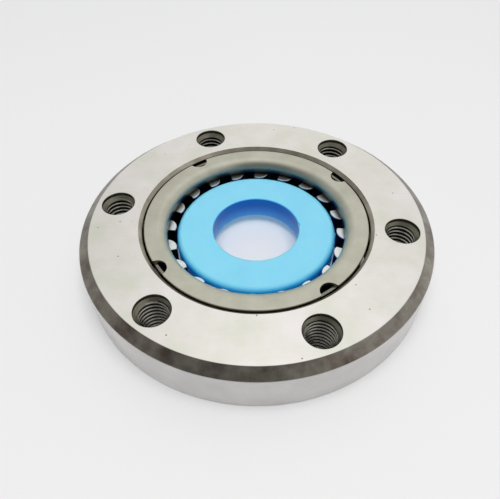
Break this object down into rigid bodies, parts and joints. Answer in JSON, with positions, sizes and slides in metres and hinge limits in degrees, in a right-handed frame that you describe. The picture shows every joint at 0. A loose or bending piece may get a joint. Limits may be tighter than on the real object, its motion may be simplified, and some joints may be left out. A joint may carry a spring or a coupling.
{
  "type": "sprag clutch",
  "caption": "One-way clutch ring with tapped bolt holes round a caged set of rocking sprags, held open by a round plastic transport plug with a central hole.",
  "frame": {"origin": "on the axis at the ring's lower face", "axes": "+Z along the axis, towards the face that shows the cage flange and the plug; +X to the right in the picture"},
  "size_m": [0.0892, 0.0892, 0.013],
  "materials": {
    "ring_steel": "turned and face-ground hardened steel, lightly oiled",
    "cage_steel": "deep-drawn steel sheet, satin",
    "spring_steel": "bright rolled spring strip",
    "sprag_steel": "hardened and tumbled bearing steel",
    "plug_plastic": "injection-moulded polyethylene, semi-gloss"
  },
  "bodies": {
    "outer_race": {"outer_race": "ring_steel"},
    "cage": {"outer_cage": "cage_steel", "inner_cage": "cage_steel", "ribbon_spring": "spring_steel"},
    "plug": {"transport_plug": "plug_plastic"},
    "sprag_01": {"sprag_01": "sprag_steel"},
    "sprag_02": {"sprag_02": "sprag_steel"},
    "sprag_03": {"sprag_03": "sprag_steel"},
    "sprag_04": {"sprag_04": "sprag_steel"},
    "sprag_05": {"sprag_05": "sprag_steel"},
    "sprag_06": {"sprag_06": "sprag_steel"},
    "sprag_07": {"sprag_07": "sprag_steel"},
    "sprag_08": {"sprag_08": "sprag_steel"},
    "sprag_09": {"sprag_09": "sprag_steel"},
    "sprag_10": {"sprag_10": "sprag_steel"},
    "sprag_11": {"sprag_11": "sprag_steel"},
    "sprag_12": {"sprag_12": "sprag_steel"},
    "sprag_13": {"sprag_13": "sprag_steel"},
    "sprag_14": {"sprag_14": "sprag_steel"},
    "sprag_15": {"sprag_15": "sprag_steel"},
    "sprag_16": {"sprag_16": "sprag_steel"},
    "sprag_17": {"sprag_17": "sprag_steel"},
    "sprag_18": {"sprag_18": "sprag_steel"},
    "sprag_19": {"sprag_19": "sprag_steel"},
    "sprag_20": {"sprag_20": "sprag_steel"}
  },
  "joints": [
    {"name": "cage_spin", "type": "hinge", "parent": "outer_race", "child": "cage", "pos_m": [0, 0, 0], "axis": [0, 0, 1], "continuous": true},
    {"name": "plug_lift", "type": "slide", "parent": "outer_race", "child": "plug", "axis": [0, 0, 1], "range_m": [0, 0.014]},
    {"name": "sprag_01_tilt", "type": "hinge", "parent": "cage", "child": "sprag_01", "pos_m": [0.02414, 0.00571, 0.0055], "axis": [0, 0, 1], "range_deg": [-5, 4]},
    {"name": "sprag_02_tilt", "type": "hinge", "parent": "cage", "child": "sprag_02", "pos_m": [0.0212, 0.01289, 0.0055], "axis": [0, 0, 1], "range_deg": [-5, 4]},
    {"name": "sprag_03_tilt", "type": "hinge", "parent": "cage", "child": "sprag_03", "pos_m": [0.01618, 0.01881, 0.0055], "axis": [0, 0, 1], "range_deg": [-5, 4]},
    {"name": "sprag_04_tilt", "type": "hinge", "parent": "cage", "child": "sprag_04", "pos_m": [0.00957, 0.02289, 0.0055], "axis": [0, 0, 1], "range_deg": [-5, 4]},
    {"name": "sprag_05_tilt", "type": "hinge", "parent": "cage", "child": "sprag_05", "pos_m": [0.00203, 0.02473, 0.0055], "axis": [0, 0, 1], "range_deg": [-5, 4]},
    {"name": "sprag_06_tilt", "type": "hinge", "parent": "cage", "child": "sprag_06", "pos_m": [-0.00571, 0.02414, 0.0055], "axis": [0, 0, 1], "range_deg": [-5, 4]},
    {"name": "sprag_07_tilt", "type": "hinge", "parent": "cage", "child": "sprag_07", "pos_m": [-0.01289, 0.0212, 0.0055], "axis": [0, 0, 1], "range_deg": [-5, 4]},
    {"name": "sprag_08_tilt", "type": "hinge", "parent": "cage", "child": "sprag_08", "pos_m": [-0.01881, 0.01618, 0.0055], "axis": [0, 0, 1], "range_deg": [-5, 4]},
    {"name": "sprag_09_tilt", "type": "hinge", "parent": "cage", "child": "sprag_09", "pos_m": [-0.02289, 0.00957, 0.0055], "axis": [0, 0, 1], "range_deg": [-5, 4]},
    {"name": "sprag_10_tilt", "type": "hinge", "parent": "cage", "child": "sprag_10", "pos_m": [-0.02473, 0.00203, 0.0055], "axis": [0, 0, 1], "range_deg": [-5, 4]},
    {"name": "sprag_11_tilt", "type": "hinge", "parent": "cage", "child": "sprag_11", "pos_m": [-0.02414, -0.00571, 0.0055], "axis": [0, 0, 1], "range_deg": [-5, 4]},
    {"name": "sprag_12_tilt", "type": "hinge", "parent": "cage", "child": "sprag_12", "pos_m": [-0.0212, -0.01289, 0.0055], "axis": [0, 0, 1], "range_deg": [-5, 4]},
    {"name": "sprag_13_tilt", "type": "hinge", "parent": "cage", "child": "sprag_13", "pos_m": [-0.01618, -0.01881, 0.0055], "axis": [0, 0, 1], "range_deg": [-5, 4]},
    {"name": "sprag_14_tilt", "type": "hinge", "parent": "cage", "child": "sprag_14", "pos_m": [-0.00957, -0.02289, 0.0055], "axis": [0, 0, 1], "range_deg": [-5, 4]},
    {"name": "sprag_15_tilt", "type": "hinge", "parent": "cage", "child": "sprag_15", "pos_m": [-0.00203, -0.02473, 0.0055], "axis": [0, 0, 1], "range_deg": [-5, 4]},
    {"name": "sprag_16_tilt", "type": "hinge", "parent": "cage", "child": "sprag_16", "pos_m": [0.00571, -0.02414, 0.0055], "axis": [0, 0, 1], "range_deg": [-5, 4]},
    {"name": "sprag_17_tilt", "type": "hinge", "parent": "cage", "child": "sprag_17", "pos_m": [0.01289, -0.0212, 0.0055], "axis": [0, 0, 1], "range_deg": [-5, 4]},
    {"name": "sprag_18_tilt", "type": "hinge", "parent": "cage", "child": "sprag_18", "pos_m": [0.01881, -0.01618, 0.0055], "axis": [0, 0, 1], "range_deg": [-5, 4]},
    {"name": "sprag_19_tilt", "type": "hinge", "parent": "cage", "child": "sprag_19", "pos_m": [0.02289, -0.00957, 0.0055], "axis": [0, 0, 1], "range_deg": [-5, 4]},
    {"name": "sprag_20_tilt", "type": "hinge", "parent": "cage", "child": "sprag_20", "pos_m": [0.02473, -0.00203, 0.0055], "axis": [0, 0, 1], "range_deg": [-5, 4]}
  ],
  "couplings": [
    {"joint": "sprag_02_tilt", "follows": "sprag_01_tilt", "ratio": 1},
    {"joint": "sprag_03_tilt", "follows": "sprag_01_tilt", "ratio": 1},
    {"joint": "sprag_04_tilt", "follows": "sprag_01_tilt", "ratio": 1},
    {"joint": "sprag_05_tilt", "follows": "sprag_01_tilt", "ratio": 1},
    {"joint": "sprag_06_tilt", "follows": "sprag_01_tilt", "ratio": 1},
    {"joint": "sprag_07_tilt", "follows": "sprag_01_tilt", "ratio": 1},
    {"joint": "sprag_08_tilt", "follows": "sprag_01_tilt", "ratio": 1},
    {"joint": "sprag_09_tilt", "follows": "sprag_01_tilt", "ratio": 1},
    {"joint": "sprag_10_tilt", "follows": "sprag_01_tilt", "ratio": 1},
    {"joint": "sprag_11_tilt", "follows": "sprag_01_tilt", "ratio": 1},
    {"joint": "sprag_12_tilt", "follows": "sprag_01_tilt", "ratio": 1},
    {"joint": "sprag_13_tilt", "follows": "sprag_01_tilt", "ratio": 1},
    {"joint": "sprag_14_tilt", "follows": "sprag_01_tilt", "ratio": 1},
    {"joint": "sprag_15_tilt", "follows": "sprag_01_tilt", "ratio": 1},
    {"joint": "sprag_16_tilt", "follows": "sprag_01_tilt", "ratio": 1},
    {"joint": "sprag_17_tilt", "follows": "sprag_01_tilt", "ratio": 1},
    {"joint": "sprag_18_tilt", "follows": "sprag_01_tilt", "ratio": 1},
    {"joint": "sprag_19_tilt", "follows": "sprag_01_tilt", "ratio": 1},
    {"joint": "sprag_20_tilt", "follows": "sprag_01_tilt", "ratio": 1}
  ]
}
